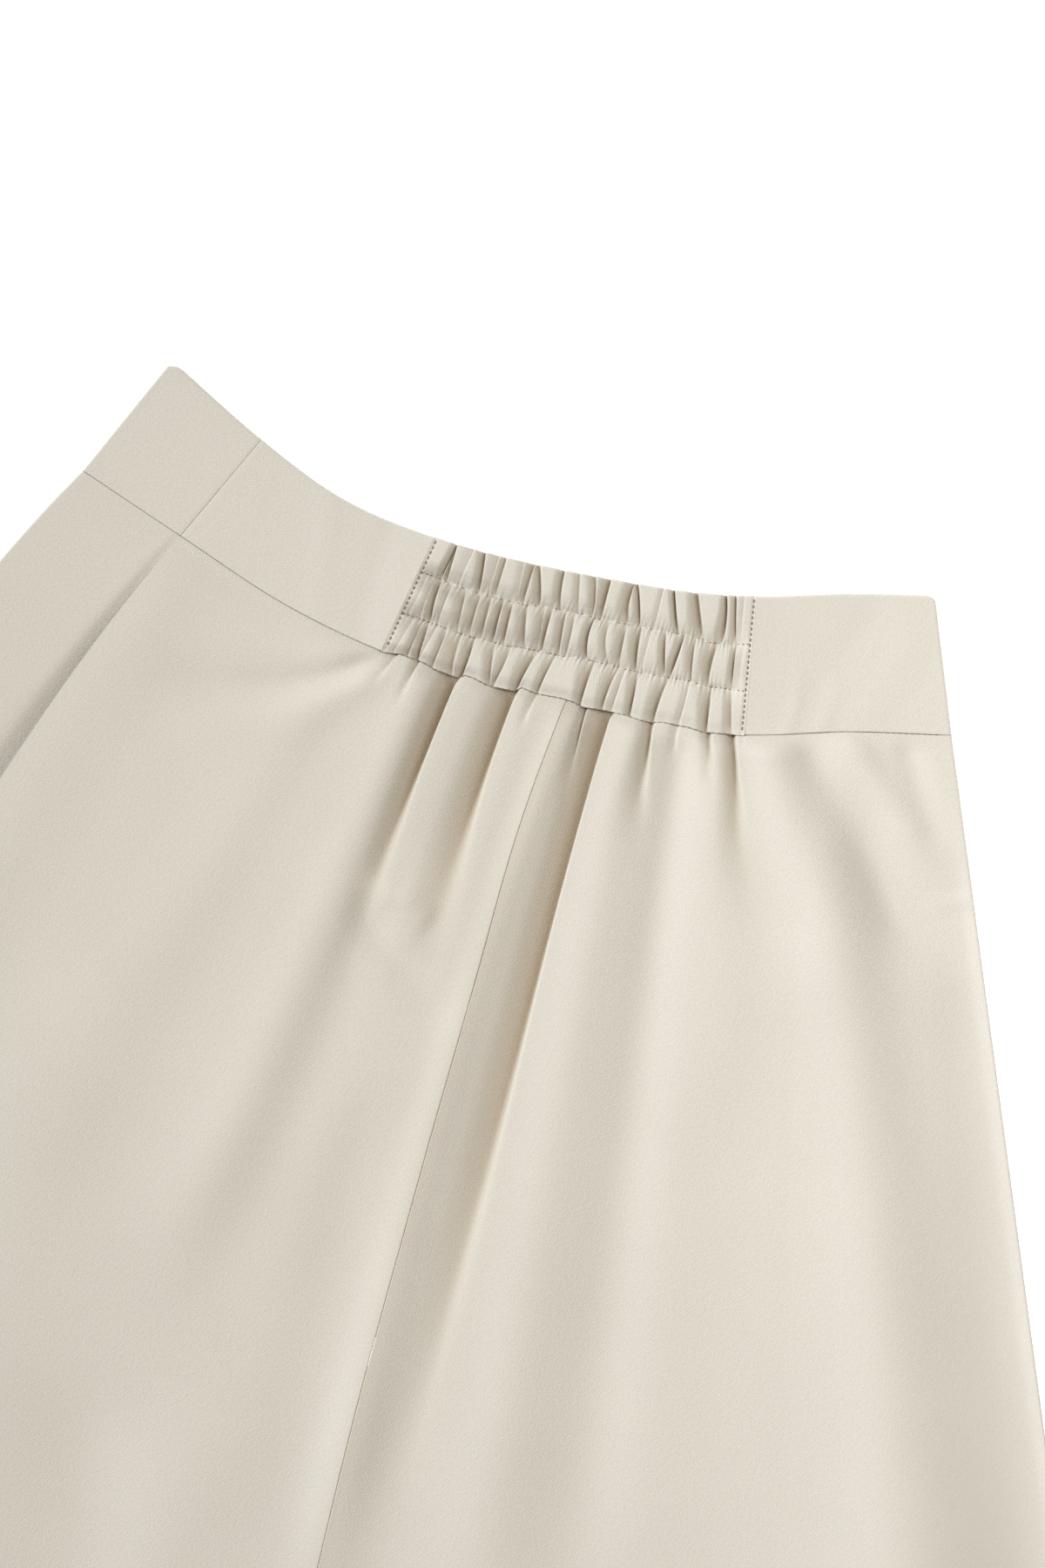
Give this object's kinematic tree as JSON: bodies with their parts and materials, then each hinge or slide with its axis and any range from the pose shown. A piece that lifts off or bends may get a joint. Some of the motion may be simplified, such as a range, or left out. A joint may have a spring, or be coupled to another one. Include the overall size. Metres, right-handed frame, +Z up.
{
  "type": "culottes",
  "caption": "Wide pull-on culottes lying flat with the back up: shaped waistband with a gathered elastic centre back over two flared legs.",
  "frame": {"origin": "on the surface the garment lies on, under the middle of its bounding box", "axes": "+Z up out of the surface, +Y from the hem towards the waist, +X to the right as the garment lies with its back up"},
  "size_m": [0.7598, 0.6764, 0.0066],
  "materials": {
    "leg_cloth": "cream crepe twill, matt with a faint soft sheen",
    "waistband_cloth": "the same cream crepe twill over a firm interfacing"
  },
  "bodies": {
    "root": {"front_leg_left": "leg_cloth", "front_leg_right": "leg_cloth", "back_leg_left": "leg_cloth", "back_leg_right": "leg_cloth", "front_waistband": "waistband_cloth", "back_waistband_left": "waistband_cloth", "back_waistband_elastic": "waistband_cloth", "back_waistband_right": "waistband_cloth"}
  },
  "joints": []
}
